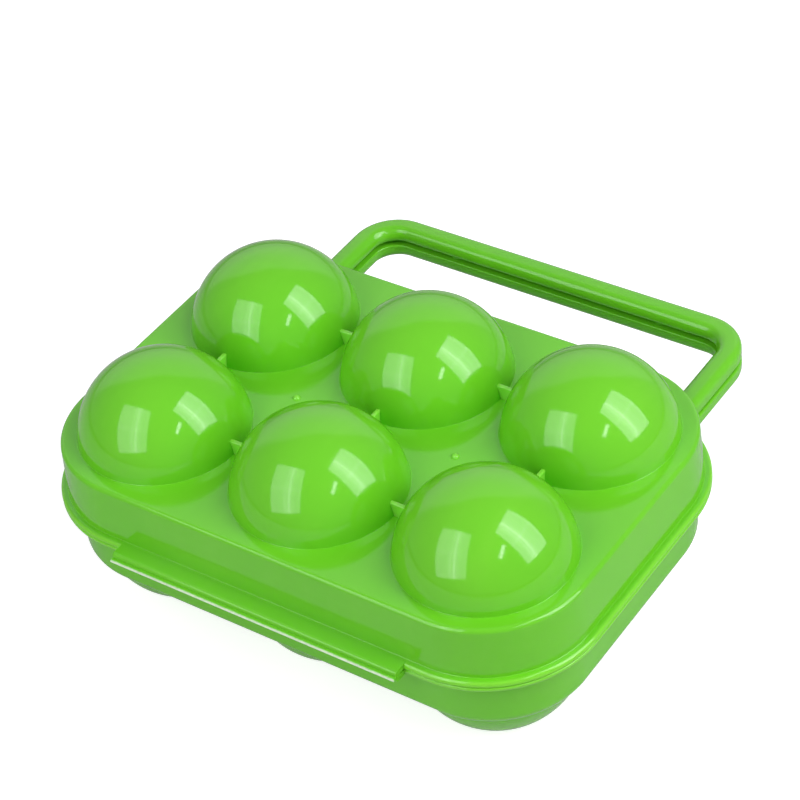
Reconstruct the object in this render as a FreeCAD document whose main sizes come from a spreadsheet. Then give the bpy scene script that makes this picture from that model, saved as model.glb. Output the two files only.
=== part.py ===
import FreeCAD, Part
import math
import os
import Sketcher
from enum import IntEnum
from FreeCAD import Vector

# Egg carrier: a hinged tray and lid for six eggs, with a split carrying handle at the back and a folding
# film hinge at the front. Millimetres, +Z up. Every body is drawn with z = 0 on the plane where the lid
# meets the base and x = y = 0 at the middle of the egg grid, and is then placed so that the part's origin
# is at the middle of its footprint, on the surface that it stands on.

# Driving sizes. A ledge or margin is measured outwards from the rectangle through the corner egg centres, so
# each outline is a rounded rectangle whose corners are centred on the corner eggs.
SIZES = {
    # ball-shaped egg hollows, their moulded wall and the gap between neighbouring balls
    "hollow_radius": 23.0,
    "wall_thickness": 1.5,
    "ball_gap": 3.0,
    # lid: how deep the domes sit in the plate, and the plate and wall around them
    "dome_sink": 2.8,
    "lid_rise": 17.6,
    "lid_ledge": 4.5,
    "lid_draft": 0.9,
    "lid_edge_round": 2.0,
    # base: how deep the cups sit in the floor, and the floor and wall around them
    "cup_sink": 4.6,
    "base_drop": 19.0,
    "base_ledge": 3.0,
    "base_draft": 0.8,
    "base_edge_round": 4.0,
    "stand_pad_radius": 6.0,
    # flanges that meet at the parting plane
    "flange_width": 1.9,
    "flange_thickness": 1.8,
    # webs between neighbouring domes, and the gate nubs on the plate
    "web_height": 4.0,
    "web_thickness": 1.2,
    "nub_radius": 1.2,
    "nub_height": 0.6,
    # carrying handle, two halves either side of the parting plane
    "handle_reach": 38.5,
    "handle_half_span": 65.0,
    "handle_width": 7.0,
    "handle_half_height": 5.35,
    "handle_corner_radius": 14.0,
    "handle_edge_round": 2.4,
    "handle_seam_round": 0.5,
    "handle_gap": 0.6,
    # snap studs on the lower handle half and their sockets in the upper half
    "stud_spacing": 70.0,
    "stud_radius": 1.9,
    "stud_height": 2.6,
    "stud_tip_round": 0.6,
    "stud_clearance": 0.2,
    # film hinge along the front: a thick leaf on each flange, then the thin film that folds back on itself
    "hinge_length": 92.0,
    "leaf_width": 3.6,
    "leaf_edge_round": 0.6,
    "film_reach": 1.2,
    "film_thickness": 0.4,
    "film_edge_round": 0.2,
}

# Sizes that follow from the driving ones.
DERIVED = {
    "ball_radius": "=hollow_radius + wall_thickness",
    "egg_pitch": "=ball_radius * 2 + ball_gap",
    "grid_length": "=egg_pitch * 2",
    "grid_width": "=egg_pitch",
    "lid_top_margin": "=ball_radius + lid_ledge",
    "lid_foot_margin": "=lid_top_margin + lid_draft",
    "base_foot_margin": "=ball_radius + base_ledge",
    "base_top_margin": "=base_foot_margin + base_draft",
    "flange_margin": "=lid_foot_margin + flange_width",
    "dome_centre": "=lid_rise - dome_sink",
    "dome_mouth": "=sqrt(hollow_radius^2 - dome_sink^2)",
    "cup_centre": "=base_drop - cup_sink",
    "cup_mouth": "=sqrt(hollow_radius^2 - cup_sink^2)",
    "stand_drop": "=cup_centre + sqrt(ball_radius^2 - stand_pad_radius^2)",
    "flange_front": "=grid_width / 2 + flange_margin",
    "leaf_front": "=flange_front + leaf_width",
    "hinge_line": "=leaf_front + film_reach",
    "handle_back": "=flange_front + handle_reach",
    "handle_middle": "=handle_back - handle_width / 2",
    "origin_shift": "=(handle_back - hinge_line) / 2",
}


def spread(names):
    """Even places either side of the middle of the egg grid, by name, counted in pitches."""
    return {name: index - (len(names) - 1) / 2 for index, name in enumerate(names)}


def between(places):
    """The places halfway between neighbours."""
    ordered = list(places.values())
    return [(first + second) / 2 for first, second in zip(ordered, ordered[1:])]


COLUMNS = spread(["left", "middle", "right"])
ROWS = spread(["front", "rear"])

class SketchAxis(IntEnum):
    """Numbers that a sketch gives to its own axes."""
    X = -1
    Y = -2


class SketchPoint(IntEnum):
    """Numbers that a sketch gives to the points of a line or an arc."""
    START = 1
    END = 2
    CENTRE = 3


X_AXIS, Y_AXIS = SketchAxis
START, END, CENTRE = SketchPoint

doc = FreeCAD.newDocument("EggCarrier")
sheet = doc.addObject("Spreadsheet::Sheet", "Sizes")
for row, (alias, content) in enumerate({**SIZES, **DERIVED}.items(), start=1):
    sheet.set(f"A{row}", alias)
    sheet.set(f"B{row}", str(content))
    sheet.setAlias(f"B{row}", alias)
doc.recompute()

subparts = []


def size(alias):
    """The value that the sheet holds under this alias."""
    return float(sheet.get(alias))


def bind(item, place, formula):
    """Tie a property or a named constraint to a formula of the sheet's sizes."""
    item.setExpression(place, formula)


def new_body(label, column=0, row=0):
    """A body in the row frame, moved over to its place in the egg grid."""
    body = doc.addObject("PartDesign::Body", label)
    body.Label = label
    bind(body, "Placement.Base.x", f"Sizes.egg_pitch * {column}")
    bind(body, "Placement.Base.y", f"Sizes.egg_pitch * {row} - Sizes.origin_shift")
    bind(body, "Placement.Base.z", "Sizes.stand_drop")
    subparts.append(body)
    return body


def new_sketch(body, name, role, offset="0"):
    """A sketch on one of the body's own origin planes, moved along that plane's normal."""
    sketch = body.newObject("Sketcher::SketchObject", f"{body.Name}_{name}")
    plane = next(item for item in body.Origin.OriginFeatures if item.Role == role)
    sketch.AttachmentSupport = [(plane, "")]
    sketch.MapMode = "FlatFace"
    bind(sketch, "AttachmentOffset.Base.z", offset)
    return sketch


def feature(body, kind, name, profile):
    """A feature of the body that works on a sketch."""
    item = body.newObject(f"PartDesign::{kind}", f"{body.Name}_{name}")
    item.Profile = profile
    return item


def pad(body, name, profile, length, symmetric=False, reverse=False):
    """Material added from a sketch, to one side of it or evenly to both."""
    item = feature(body, "Pad", name, profile)
    bind(item, "Length", length)
    item.SideType = "Symmetric" if symmetric else "One side"
    item.Reversed = reverse
    doc.recompute()
    return item


def pocket(body, name, profile, length, reverse=False):
    """Material cut from a sketch, which has to take something away."""
    before = body.Shape.Volume
    item = feature(body, "Pocket", name, profile)
    bind(item, "Length", length)
    item.Reversed = reverse
    doc.recompute()
    if not body.Shape.Volume < before:
        raise RuntimeError(f"{item.Name} cut nothing")
    return item


def loft(body, kind, name, foot, top):
    """Straight walls between two outlines, added or cut."""
    item = feature(body, kind, name, foot)
    item.Sections = [top]
    item.Ruled = True
    doc.recompute()
    return item


def fillet(body, name, base, edges, radius):
    """Rounded edges."""
    if not edges:
        raise RuntimeError(f"{body.Name}: no edges to round for {name}")
    item = body.newObject("PartDesign::Fillet", f"{body.Name}_{name}")
    item.Base = (base, edges)
    bind(item, "Radius", radius)
    doc.recompute()
    return item


def constrain(sketch, name, constraint, formula):
    """Add a dimension to the sketch and tie it to the sheet."""
    index = sketch.addConstraint(constraint)
    sketch.renameConstraint(index, name)
    bind(sketch, f"Constraints.{name}", formula)


def from_origin(sketch, name, direction, item, point, value, formula):
    """Tie how far a point lies from the sketch's origin, along one axis, to the sheet."""
    constrain(sketch, name, Sketcher.Constraint(direction, X_AXIS, START, item, point, value), formula)


def add_line(sketch, first, second):
    """A straight sketch line between two points."""
    return sketch.addGeometry(Part.LineSegment(first, second), False)


def add_arc(sketch, centre, radius, first, last):
    """A sketch arc, counter-clockwise from one angle to another."""
    circle = Part.Circle(centre, Vector(0, 0, 1), radius)
    return sketch.addGeometry(Part.ArcOfCircle(circle, first, last), False)


def coincide(sketch, joins):
    """Join pairs of sketch points, each given as item, point, item, point."""
    for join in joins:
        sketch.addConstraint(Sketcher.Constraint("Coincident", *join))


def rounded_rectangle(sketch, margin):
    """Outline at an even margin around the egg grid, its corners centred on the corner eggs."""
    half_x = size("grid_length") / 2
    half_y = size("grid_width") / 2
    radius = size("flange_margin")
    arcs = []
    for quarter, (side_x, side_y) in enumerate([(1, 1), (-1, 1), (-1, -1), (1, -1)]):
        first = quarter * math.pi / 2
        centre = Vector(side_x * half_x, side_y * half_y, 0)
        arcs.append(add_arc(sketch, centre, radius, first, first + math.pi / 2))
    for quarter in range(len(arcs)):
        following = arcs[(quarter + 1) % len(arcs)]
        line = add_line(sketch, sketch.getPoint(arcs[quarter], END), sketch.getPoint(following, START))
        sketch.addConstraint(Sketcher.Constraint("Tangent", arcs[quarter], END, line, START))
        sketch.addConstraint(Sketcher.Constraint("Tangent", line, END, following, START))
        direction = "Horizontal" if quarter % 2 == 0 else "Vertical"
        sketch.addConstraint(Sketcher.Constraint(direction, line))
        if quarter:
            sketch.addConstraint(Sketcher.Constraint("Equal", arcs[0], arcs[quarter]))
    first, second, third, fourth = arcs
    sketch.addConstraint(Sketcher.Constraint("Symmetric", first, CENTRE, third, CENTRE, X_AXIS, START))
    constrain(sketch, "margin", Sketcher.Constraint("Radius", first, radius), margin)
    length = Sketcher.Constraint("DistanceX", second, CENTRE, first, CENTRE, 2 * half_x)
    constrain(sketch, "grid_length", length, "Sizes.grid_length")
    width = Sketcher.Constraint("DistanceY", fourth, CENTRE, first, CENTRE, 2 * half_y)
    constrain(sketch, "grid_width", width, "Sizes.grid_width")


def outline(body, name, margin, height):
    """A level rounded-rectangle sketch at a height above the parting plane."""
    sketch = new_sketch(body, name, "XY_Plane", height)
    rounded_rectangle(sketch, margin)
    return sketch


def circles(sketch, places, radius):
    """Equal circles at places given as formulas and numbers, with the radius as a formula."""
    for number, (x_formula, y_formula, x, y) in enumerate(places):
        ring = sketch.addGeometry(Part.Circle(Vector(x, y, 0), Vector(0, 0, 1), size("nub_radius")), False)
        constrain(sketch, f"radius_{number}", Sketcher.Constraint("Radius", ring, size("nub_radius")), radius)
        from_origin(sketch, f"x_{number}", "DistanceX", ring, CENTRE, x, x_formula)
        from_origin(sketch, f"y_{number}", "DistanceY", ring, CENTRE, y, y_formula)


def grid_places():
    """The six egg centres, as formulas and as numbers."""
    pitch = size("egg_pitch")
    return [(f"Sizes.egg_pitch * {column}", f"Sizes.egg_pitch * {row}", pitch * column, pitch * row)
            for row in ROWS.values() for column in COLUMNS.values()]


def outline_distance(point):
    """How far a point lies outside the rectangle through the corner egg centres."""
    beyond_x = max(abs(point.x) - size("grid_length") / 2, 0)
    beyond_y = max(abs(point.y) - size("grid_width") / 2, 0)
    return math.hypot(beyond_x, beyond_y)


def edges_at(item, height, margin=None):
    """Names of a feature's level edges at a height, on the outline with this margin if one is given."""
    names = []
    for number, edge in enumerate(item.Shape.Edges, start=1):
        points = edge.discretize(5)
        level = all(abs(point.z - height) < 1e-4 for point in points)
        if level and (margin is None or all(abs(outline_distance(p) - margin) < 1e-3 for p in points)):
            names.append(f"Edge{number}")
    return names


def round_cap(body, name, lift, centre, mouth, flat=None):
    """A hollow ball cap closed at its far end and open at its mouth, turned about the egg's axis.

    lift is 1 for a dome that rises and -1 for a cup that hangs. With flat, the far end is levelled off inside
    and out, so that a cup has a pad to stand on.
    """
    outer = size("ball_radius")
    inner = size("hollow_radius")
    middle = lift * size(centre)
    rim = lift * size(mouth)
    sketch = new_sketch(body, name, "XZ_Plane")
    rim_angle = math.asin((rim - middle) / outer)
    tip = outer if flat is None else math.sqrt(outer**2 - size(flat)**2)
    tip_angle = lift * math.asin(tip / outer)
    spans = sorted((rim_angle, tip_angle))
    ball = add_arc(sketch, Vector(0, middle, 0), outer, *spans)
    hollow = add_arc(sketch, Vector(0, middle, 0), inner, *spans)
    rim_end, tip_end = (START, END) if lift > 0 else (END, START)
    seat = add_line(sketch, sketch.getPoint(ball, rim_end), sketch.getPoint(hollow, rim_end))
    far_inside = Vector(0, middle + lift * (tip - size("wall_thickness")), 0)
    axis = add_line(sketch, far_inside, Vector(0, middle + lift * tip, 0))
    joins = [(ball, rim_end, seat, START), (hollow, rim_end, seat, END), (ball, CENTRE, hollow, CENTRE)]
    if flat is None:
        joins += [(hollow, tip_end, axis, START), (ball, tip_end, axis, END)]
    else:
        floor = add_line(sketch, sketch.getPoint(axis, START), sketch.getPoint(hollow, tip_end))
        base = add_line(sketch, sketch.getPoint(axis, END), sketch.getPoint(ball, tip_end))
        joins += [(floor, START, axis, START), (floor, END, hollow, tip_end),
                  (base, START, axis, END), (base, END, ball, tip_end)]
    coincide(sketch, joins)
    for item, point in ((ball, CENTRE), (axis, START), (axis, END)):
        sketch.addConstraint(Sketcher.Constraint("PointOnObject", item, point, Y_AXIS))
    sketch.addConstraint(Sketcher.Constraint("Horizontal", seat))
    constrain(sketch, "ball", Sketcher.Constraint("Radius", ball, outer), "Sizes.ball_radius")
    constrain(sketch, "hollow", Sketcher.Constraint("Radius", hollow, inner), "Sizes.hollow_radius")
    from_origin(sketch, "centre", "DistanceY", ball, CENTRE, middle, f"Sizes.{centre} * {lift}")
    from_origin(sketch, "mouth", "DistanceY", seat, START, rim, f"Sizes.{mouth} * {lift}")
    if flat is not None:
        sketch.addConstraint(Sketcher.Constraint("Horizontal", floor))
        sketch.addConstraint(Sketcher.Constraint("Horizontal", base))
        constrain(sketch, "pad", Sketcher.Constraint("DistanceX", base, START, base, END, size(flat)),
                  f"Sizes.{flat}")
        constrain(sketch, "wall", Sketcher.Constraint("Distance", axis, size("wall_thickness")),
                  "Sizes.wall_thickness")
    turned = feature(body, "Revolution", f"{name}_turned", sketch)
    turned.ReferenceAxis = (sketch, ["V_Axis"])
    turned.Angle = 360
    doc.recompute()


def build_lid_tray():
    """Lid flange, drafted wall and top plate, hollow below, with the dome mouths and the gate nubs."""
    body = new_body("lid_tray")
    flange = outline(body, "flange", "Sizes.flange_margin", "0")
    pad(body, "flange_pad", flange, "Sizes.flange_thickness")
    foot = outline(body, "wall_foot", "Sizes.lid_foot_margin", "0")
    top = outline(body, "wall_top", "Sizes.lid_top_margin", "Sizes.lid_rise")
    wall = loft(body, "AdditiveLoft", "wall", foot, top)
    rounded = edges_at(wall, size("lid_rise"), size("lid_top_margin"))
    fillet(body, "plate_edge", wall, rounded, "Sizes.lid_edge_round")
    hollow_foot = outline(body, "hollow_foot", "Sizes.lid_foot_margin - Sizes.wall_thickness", "0")
    hollow_top = outline(body, "hollow_top", "Sizes.lid_top_margin - Sizes.wall_thickness",
                         "Sizes.lid_rise - Sizes.wall_thickness")
    loft(body, "SubtractiveLoft", "hollow", hollow_foot, hollow_top)
    mouths = new_sketch(body, "mouths", "XY_Plane", "Sizes.lid_rise")
    circles(mouths, grid_places(), "Sizes.dome_mouth")
    pocket(body, "mouth_holes", mouths, "Sizes.wall_thickness * 2")
    nubs = new_sketch(body, "nubs", "XY_Plane", "Sizes.lid_rise")
    half = size("egg_pitch") / 2
    circles(nubs, [("Sizes.egg_pitch / 2", "0", half, 0), ("-Sizes.egg_pitch / 2", "0", -half, 0)],
            "Sizes.nub_radius")
    pad(body, "gate_nubs", nubs, "Sizes.nub_height")


def build_base_tray():
    """Base flange, drafted wall and floor, hollow above, with the cup mouths."""
    body = new_body("base_tray")
    flange = outline(body, "flange", "Sizes.flange_margin", "-Sizes.flange_thickness")
    pad(body, "flange_pad", flange, "Sizes.flange_thickness")
    top = outline(body, "wall_top", "Sizes.base_top_margin", "0")
    foot = outline(body, "wall_foot", "Sizes.base_foot_margin", "-Sizes.base_drop")
    wall = loft(body, "AdditiveLoft", "wall", top, foot)
    rounded = edges_at(wall, -size("base_drop"), size("base_foot_margin"))
    fillet(body, "floor_edge", wall, rounded, "Sizes.base_edge_round")
    hollow_top = outline(body, "hollow_top", "Sizes.base_top_margin - Sizes.wall_thickness", "0")
    hollow_foot = outline(body, "hollow_foot", "Sizes.base_foot_margin - Sizes.wall_thickness",
                          "Sizes.wall_thickness - Sizes.base_drop")
    hollow = loft(body, "SubtractiveLoft", "hollow", hollow_top, hollow_foot)
    inner_floor = size("wall_thickness") - size("base_drop")
    inner_margin = size("base_foot_margin") - size("wall_thickness")
    fillet(body, "floor_corner", hollow, edges_at(hollow, inner_floor, inner_margin),
           "Sizes.base_edge_round - Sizes.wall_thickness")
    mouths = new_sketch(body, "mouths", "XY_Plane", "-Sizes.base_drop")
    circles(mouths, grid_places(), "Sizes.cup_mouth")
    pocket(body, "mouth_holes", mouths, "Sizes.wall_thickness * 2", reverse=True)


def build_egg_places():
    """A cup in the base and a dome in the lid for each egg."""
    for row_name, row in ROWS.items():
        for column_name, column in COLUMNS.items():
            cup = new_body(f"cup_{row_name}_{column_name}", column, row)
            round_cap(cup, "profile", -1, "cup_centre", "base_drop", "stand_pad_radius")
            dome = new_body(f"dome_{row_name}_{column_name}", column, row)
            round_cap(dome, "profile", 1, "dome_centre", "lid_rise")


def web_profile(sketch):
    """The gap between two neighbouring domes, from the plate up to the web's level top."""
    reach = size("egg_pitch") / 2
    ball = size("ball_radius")
    centre = size("dome_centre")
    low = math.asin((size("lid_rise") - centre) / ball)
    high = math.asin((size("lid_rise") + size("web_height") - centre) / ball)
    sides = []
    for name, side, angles in (("right", 1, (math.pi - high, math.pi - low)), ("left", -1, (low, high))):
        arc = add_arc(sketch, Vector(side * reach, centre, 0), ball, *angles)
        constrain(sketch, f"{name}_ball", Sketcher.Constraint("Radius", arc, ball), "Sizes.ball_radius")
        from_origin(sketch, f"{name}_x", "DistanceX", arc, CENTRE, side * reach,
                    f"Sizes.egg_pitch / 2 * {side}")
        from_origin(sketch, f"{name}_z", "DistanceY", arc, CENTRE, centre, "Sizes.dome_centre")
        sides.append(arc)
    right, left = sides
    top = add_line(sketch, sketch.getPoint(right, START), sketch.getPoint(left, END))
    foot = add_line(sketch, sketch.getPoint(left, START), sketch.getPoint(right, END))
    coincide(sketch, [(right, START, top, START), (top, END, left, END),
                      (left, START, foot, START), (foot, END, right, END)])
    sketch.addConstraint(Sketcher.Constraint("Horizontal", top))
    sketch.addConstraint(Sketcher.Constraint("Horizontal", foot))
    from_origin(sketch, "foot", "DistanceY", foot, START, size("lid_rise"), "Sizes.lid_rise")
    constrain(sketch, "height", Sketcher.Constraint("DistanceY", foot, START, top, END, size("web_height")),
              "Sizes.web_height")


def build_dome_webs():
    """Seven webs: two in each row of three domes, and three from the front row to the rear row."""
    along_rows = [(column, row) for column in between(COLUMNS) for row in ROWS.values()]
    across_rows = [(column, row) for column in COLUMNS.values() for row in between(ROWS)]
    webs = []
    for name, role, places in (("along", "XZ_Plane", along_rows), ("across", "YZ_Plane", across_rows)):
        for number, (column, row) in enumerate(places):
            body = doc.addObject("PartDesign::Body", f"web_{name}_{number}")
            bind(body, "Placement.Base.x", f"Sizes.egg_pitch * {column}")
            bind(body, "Placement.Base.y", f"Sizes.egg_pitch * {row}")
            sketch = new_sketch(body, "profile", role)
            web_profile(sketch)
            pad(body, "plate", sketch, "Sizes.web_thickness", symmetric=True)
            webs.append(body)
    group = doc.addObject("Part::Compound", "dome_webs")
    group.Links = webs
    group.Label = "dome_webs"
    bind(group, "Placement.Base.y", "-Sizes.origin_shift")
    bind(group, "Placement.Base.z", "Sizes.stand_drop")
    doc.recompute()
    subparts.append(group)


def handle_loop(sketch):
    """A U in plan: two legs that run in under the tray, and the grip bar across the back."""
    span = size("handle_half_span")
    back = size("handle_back")
    width = size("handle_width")
    corner = size("handle_corner_radius")
    root = size("grid_width") / 2
    lines = {}
    arcs = {}
    for name, inset in (("outer", 0), ("inner", width)):
        x = span - inset
        y = back - inset
        bend = corner - inset
        for side in (1, -1):
            lines[name, side] = add_line(sketch, Vector(side * x, root, 0), Vector(side * x, y - bend, 0))
            first = 0 if side > 0 else math.pi / 2
            centre = Vector(side * (x - bend), y - bend, 0)
            arcs[name, side] = add_arc(sketch, centre, bend, first, first + math.pi / 2)
        lines[name, 0] = add_line(sketch, Vector(x - bend, y, 0), Vector(-x + bend, y, 0))
        for side, leg_end, bar_end, bar_point in ((1, START, END, START), (-1, END, START, END)):
            arc = arcs[name, side]
            sketch.addConstraint(Sketcher.Constraint("Tangent", lines[name, side], END, arc, leg_end))
            sketch.addConstraint(Sketcher.Constraint("Tangent", arc, bar_end, lines[name, 0], bar_point))
            sketch.addConstraint(Sketcher.Constraint("Vertical", lines[name, side]))
        sketch.addConstraint(Sketcher.Constraint("Horizontal", lines[name, 0]))
        sketch.addConstraint(
            Sketcher.Constraint("Symmetric", lines[name, 1], END, lines[name, -1], END, Y_AXIS))
    for name, side in (("right", 1), ("left", -1)):
        end = add_line(sketch, Vector(side * span, root, 0), Vector(side * (span - width), root, 0))
        coincide(sketch, [(end, START, lines["outer", side], START), (end, END, lines["inner", side], START)])
        sketch.addConstraint(Sketcher.Constraint("Horizontal", end))
        from_origin(sketch, f"root_{name}", "DistanceY", end, START, root, "Sizes.grid_width / 2")
    coincide(sketch, [(arcs["outer", 1], CENTRE, arcs["inner", 1], CENTRE)])
    constrain(sketch, "bend", Sketcher.Constraint("Radius", arcs["outer", 1], corner),
              "Sizes.handle_corner_radius")
    constrain(sketch, "inner_bend", Sketcher.Constraint("Radius", arcs["inner", 1], corner - width),
              "Sizes.handle_corner_radius - Sizes.handle_width")
    from_origin(sketch, "span", "DistanceX", lines["outer", 1], START, span, "Sizes.handle_half_span")
    from_origin(sketch, "back", "DistanceY", lines["outer", 0], START, back, "Sizes.handle_back")


def stud_places():
    """The two snap studs on the grip bar, as formulas and as numbers."""
    half = size("stud_spacing") / 2
    return [("Sizes.stud_spacing / 2", "Sizes.handle_middle", half, size("handle_middle")),
            ("-Sizes.stud_spacing / 2", "Sizes.handle_middle", -half, size("handle_middle"))]


def handle_bar(body, lift):
    """One half of the handle: a level U with its outer edges well rounded and its seam edges eased."""
    seam = f"Sizes.handle_gap / 2 * {lift}"
    loop = new_sketch(body, "loop", "XY_Plane", seam)
    handle_loop(loop)
    height = "Sizes.handle_half_height - Sizes.handle_gap / 2"
    bar = pad(body, "bar", loop, height, reverse=lift < 0)
    outside = edges_at(bar, lift * size("handle_half_height"))
    rounded = fillet(body, "grip_round", bar, outside, "Sizes.handle_edge_round")
    inside = edges_at(rounded, lift * size("handle_gap") / 2)
    fillet(body, "seam_round", rounded, inside, "Sizes.handle_seam_round")


def build_lid_handle():
    """Upper handle half: its legs end on the lid's wall and over its flange, and it has the stud sockets."""
    body = new_body("lid_handle")
    handle_bar(body, 1)
    foot = outline(body, "wall_foot", "Sizes.lid_foot_margin", "0")
    top = outline(body, "wall_top", "Sizes.lid_top_margin", "Sizes.lid_rise")
    loft(body, "SubtractiveLoft", "wall_seat", foot, top)
    flange = outline(body, "flange", "Sizes.flange_margin", "0")
    pocket(body, "flange_seat", flange, "Sizes.flange_thickness", reverse=True)
    sockets = new_sketch(body, "sockets", "XY_Plane", "Sizes.handle_gap / 2")
    circles(sockets, stud_places(), "Sizes.stud_radius + Sizes.stud_clearance")
    pocket(body, "stud_sockets", sockets, "Sizes.stud_height + Sizes.stud_clearance", reverse=True)


def build_base_handle():
    """Lower handle half: its legs end on the base's wall and under its flange, and it has the snap studs."""
    body = new_body("base_handle")
    handle_bar(body, -1)
    top = outline(body, "wall_top", "Sizes.base_top_margin", "0")
    foot = outline(body, "wall_foot", "Sizes.base_foot_margin", "-Sizes.base_drop")
    loft(body, "SubtractiveLoft", "wall_seat", top, foot)
    flange = outline(body, "flange", "Sizes.flange_margin", "0")
    pocket(body, "flange_seat", flange, "Sizes.flange_thickness")
    studs = new_sketch(body, "studs", "XY_Plane", "-Sizes.handle_gap / 2")
    circles(studs, stud_places(), "Sizes.stud_radius")
    standing = pad(body, "snap_studs", studs, "Sizes.handle_gap + Sizes.stud_height")
    tips = edges_at(standing, size("handle_gap") / 2 + size("stud_height"))
    fillet(body, "stud_tips", standing, tips, "Sizes.stud_tip_round")


def build_strip(label, lift, near, far, thickness, edge_round):
    """A strip along the front, on the parting plane between two distances, with its front edge eased.

    lift is 1 for the lid's strips, which lie above the plane, and -1 for the base's, which lie below it.
    """
    body = new_body(label)
    sketch = new_sketch(body, "section", "YZ_Plane")
    back = -size(near)
    front = -size(far)
    level = lift * size(thickness)
    points = [Vector(back, 0, 0), Vector(front, 0, 0), Vector(front, level, 0), Vector(back, level, 0)]
    sides = []
    for number, point in enumerate(points):
        following = points[(number + 1) % len(points)]
        sides.append(add_line(sketch, point, following))
    for number, side in enumerate(sides):
        following = sides[(number + 1) % len(sides)]
        coincide(sketch, [(side, END, following, START)])
        direction = "Horizontal" if number % 2 == 0 else "Vertical"
        sketch.addConstraint(Sketcher.Constraint(direction, side))
    seam, tip, outside, _ = sides
    sketch.addConstraint(Sketcher.Constraint("PointOnObject", seam, START, X_AXIS))
    from_origin(sketch, "near", "DistanceX", seam, START, back, f"-Sizes.{near}")
    from_origin(sketch, "far", "DistanceX", tip, START, front, f"-Sizes.{far}")
    from_origin(sketch, "level", "DistanceY", outside, START, level, f"Sizes.{thickness} * {lift}")
    strip = pad(body, "strip", sketch, "Sizes.hinge_length", symmetric=True)
    front_edges = [name for name in edges_at(strip, level)
                   if abs(strip.Shape.getElement(name).CenterOfMass.y - front) < 1e-4]
    fillet(body, "front_edge", strip, front_edges, f"Sizes.{edge_round}")


def build_hinge():
    """On each flange a leaf, and on each leaf its half of the film. The halves meet at the fold."""
    for owner, lift in (("base", -1), ("lid", 1)):
        build_strip(f"{owner}_hinge_leaf", lift, "flange_front", "leaf_front", "flange_thickness",
                    "leaf_edge_round")
        build_strip(f"{owner}_hinge_film", lift, "leaf_front", "hinge_line", "film_thickness",
                    "film_edge_round")


def check_and_write():
    """Stop if anything failed to build, then write each sub-part to its own file."""
    for item in doc.Objects:
        if "Invalid" in item.State or "Error" in item.State:
            raise RuntimeError(f"{item.Label} did not build: {item.State}")
    for item in subparts:
        if item.Shape.isNull() or not item.Shape.isValid() or not item.Shape.Solids:
            raise RuntimeError(f"{item.Label} has no valid solid")
    os.makedirs("parts", exist_ok=True)
    for item in subparts:
        item.Shape.exportStep(f"parts/{item.Label}.step")
        print(f"{item.Label}: {len(item.Shape.Solids)} solid, {item.Shape.Volume:.0f} mm3")


build_base_tray()
build_lid_tray()
build_egg_places()
build_dome_webs()
build_base_handle()
build_lid_handle()
build_hinge()
doc.recompute()
check_and_write()
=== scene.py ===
"""Looks of the hinged egg carrier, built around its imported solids.

The carrier is one glossy lime-green moulding, folded shut along a thin film at the front. Each form is
drawn as an upright profile, which is swept or turned into a skin, and stands for the solid of the same name.
Lengths are in metres, in the frame of the solids: +X along the hinge, +Y from hinge to handle, +Z up.
"""
import logging
import math
from abc import ABC, abstractmethod
from dataclasses import dataclass, replace
from enum import Enum
from typing import Callable, Optional, Sequence, Union

import bmesh
import bpy
from mathutils import Matrix, Vector


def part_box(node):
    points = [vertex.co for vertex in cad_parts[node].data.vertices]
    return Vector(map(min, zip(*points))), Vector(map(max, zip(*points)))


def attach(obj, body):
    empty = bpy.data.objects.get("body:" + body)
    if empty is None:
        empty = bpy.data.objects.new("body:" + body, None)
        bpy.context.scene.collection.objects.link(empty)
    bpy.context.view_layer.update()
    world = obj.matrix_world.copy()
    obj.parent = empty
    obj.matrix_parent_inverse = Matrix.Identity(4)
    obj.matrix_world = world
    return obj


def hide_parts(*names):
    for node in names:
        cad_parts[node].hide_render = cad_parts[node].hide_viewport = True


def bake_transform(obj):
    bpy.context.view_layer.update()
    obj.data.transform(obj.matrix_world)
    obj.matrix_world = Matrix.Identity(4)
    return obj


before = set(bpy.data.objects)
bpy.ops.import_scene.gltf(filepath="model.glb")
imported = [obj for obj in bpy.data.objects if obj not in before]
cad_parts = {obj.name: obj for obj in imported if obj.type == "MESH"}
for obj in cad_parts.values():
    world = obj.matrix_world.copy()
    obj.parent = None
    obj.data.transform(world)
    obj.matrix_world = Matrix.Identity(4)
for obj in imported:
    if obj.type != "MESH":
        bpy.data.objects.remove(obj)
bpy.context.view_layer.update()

MM = 0.001
UP = Vector((0, 0, 1))
RIGHT = Vector((1, 0, 0))
QUARTER = math.pi / 2
MERGE = 0.002 * MM
TOUCH = 0.01 * MM
log = logging.getLogger("egg_carrier")

Piece = bpy.types.Object
Socket = bpy.types.NodeSocket
Triple = tuple[float, float, float]
Colour = tuple[float, float, float, float]
Value = Union[Socket, Triple, Colour, float]
Inputs = dict[Union[str, int], Value]


class Half(Enum):
    """The two halves of the moulding. The value is the side of the parting plane that a half lies on."""

    LID = 1
    BASE = -1

    @property
    def body(self) -> str:
        """Name of the body that this half's pieces ride on."""
        return self.name.lower()


class Axis(Enum):
    """The frame's axes, by the name that a node gives to each part of a place."""

    X = "X"
    Y = "Y"
    Z = "Z"


class Part(Enum):
    """What an operator is to act on in edit mode."""

    EDGES = "EDGE"
    FACES = "FACE"


# Modelling tools


@dataclass(frozen=True)
class Corner:
    """A corner of a profile: how far out it lies, how high, and the radius that rounds it."""

    out: float
    up: float
    round: float = 0.0

    @property
    def point(self) -> Vector:
        """The corner as a point in the profile's plane."""
        return Vector((self.out, self.up))


def deselect() -> None:
    """Leave nothing selected, so that operators act on the new piece alone."""
    bpy.ops.object.select_all(action="DESELECT")


def take_up(piece: Piece) -> None:
    """Make a piece the only one selected and the active one.

    Args:
        piece: the object to work on.
    """
    deselect()
    piece.select_set(True)
    bpy.context.view_layer.objects.active = piece


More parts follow.
